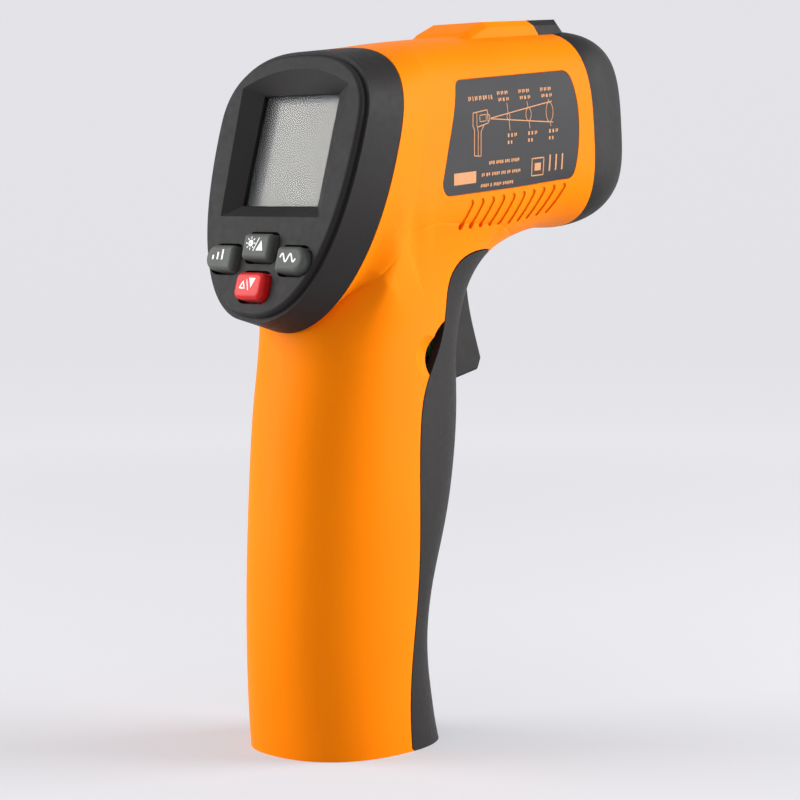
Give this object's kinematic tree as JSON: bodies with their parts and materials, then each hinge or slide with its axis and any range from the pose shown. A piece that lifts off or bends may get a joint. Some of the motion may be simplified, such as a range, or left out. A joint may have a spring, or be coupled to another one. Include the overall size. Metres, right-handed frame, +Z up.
{
  "type": "infrared thermometer",
  "caption": "Pistol-grip infrared thermometer with a leaning display face, keypad, trigger, lens and laser in the nose, and a hinged battery door.",
  "frame": {"origin": "centre of the flat base of the handle, in the plane of symmetry", "axes": "+Z up along the handle, +Y forward where the nose points, +X to the instrument's right-hand side seen from behind the display"},
  "size_m": [0.044, 0.0984, 0.1512],
  "materials": {
    "orange_plastic": "moulded ABS, fine satin texture",
    "dark_plastic": "moulded ABS, soft satin texture",
    "key_grey": "silicone with a soft-touch coat",
    "key_red": "silicone with a soft-touch coat",
    "label_print": "printed polyester label",
    "clear_plastic": "clear acrylic",
    "lcd_glass": "liquid crystal cell, blank",
    "light_guide": "milky acrylic",
    "circuit_board": "green solder mask",
    "black_resin": "moulded resin",
    "silicone": "moulded silicone",
    "steel": "plated steel",
    "brass": "turned brass",
    "lens_plastic": "infrared lens, dark and smooth",
    "battery_shell": "plain metal jacket",
    "lead_red": "insulated wire",
    "lead_black": "insulated wire",
    "foam": "open-cell foam"
  },
  "bodies": {
    "housing": {"housing_right": "orange_plastic", "housing_left": "orange_plastic", "display_bezel": "dark_plastic", "nose_cap": "dark_plastic", "label_right": "label_print", "label_left": "label_print", "display_window": "clear_plastic", "lcd_panel": "lcd_glass", "backlight": "light_guide", "lcd_connector": "silicone", "main_board": "circuit_board", "board_chips": "black_resin", "buzzer": "black_resin", "keypad_mat": "silicone", "board_screws": "steel", "ir_lens": "lens_plastic", "lens_ring": "dark_plastic", "optics_tube": "black_resin", "ir_sensor": "steel", "sensor_board": "circuit_board", "laser_module": "brass", "laser_window": "clear_plastic", "trigger_pin": "steel", "trigger_spring": "steel", "trigger_switch": "black_resin", "switch_board": "circuit_board", "switch_screws": "steel", "battery": "battery_shell", "battery_snap": "black_resin", "battery_cradle": "black_resin", "door_pin": "steel", "battery_lead_red": "lead_red", "battery_lead_black": "lead_black", "laser_leads": "lead_red", "switch_leads": "lead_black", "sensor_ribbon": "lead_black", "housing_screws": "steel"},
    "door": {"battery_door": "dark_plastic", "battery_pad": "foam"},
    "trigger": {"trigger": "dark_plastic"},
    "switch_plunger": {"switch_plunger": "black_resin"},
    "set_key": {"key_set": "key_grey"},
    "up_key": {"key_up": "key_grey"},
    "mode_key": {"key_mode": "key_grey"},
    "down_key": {"key_down": "key_red"}
  },
  "joints": [
    {"name": "door_hinge", "type": "hinge", "parent": "housing", "child": "door", "pos_m": [0, 0.0162, 0.0028], "axis": [-1, 0, 0], "range_deg": [0, 55]},
    {"name": "trigger_pull", "type": "hinge", "parent": "housing", "child": "trigger", "pos_m": [0, 0.026, 0.0965], "axis": [-1, 0, 0], "range_deg": [0, 4.5], "stiffness_Nm_per_rad": 0.5, "springref_deg": -3.44},
    {"name": "switch_press", "type": "slide", "parent": "housing", "child": "switch_plunger", "axis": [0, -1, 0], "range_m": [0, 0.0008]},
    {"name": "set_key_press", "type": "slide", "parent": "housing", "child": "set_key", "axis": [0, 0.9632, -0.2689], "range_m": [0, 0.001], "stiffness_N_per_m": 700, "springref_m": -0.0005},
    {"name": "up_key_press", "type": "slide", "parent": "housing", "child": "up_key", "axis": [0, 0.9632, -0.2689], "range_m": [0, 0.001], "stiffness_N_per_m": 700, "springref_m": -0.0005},
    {"name": "mode_key_press", "type": "slide", "parent": "housing", "child": "mode_key", "axis": [0, 0.9632, -0.2689], "range_m": [0, 0.001], "stiffness_N_per_m": 700, "springref_m": -0.0005},
    {"name": "down_key_press", "type": "slide", "parent": "housing", "child": "down_key", "axis": [0, 0.9632, -0.2689], "range_m": [0, 0.001], "stiffness_N_per_m": 700, "springref_m": -0.0005}
  ],
  "couplings": [
    {"joint": "switch_press", "follows": "trigger_pull", "m_per_rad": 0.01}
  ]
}
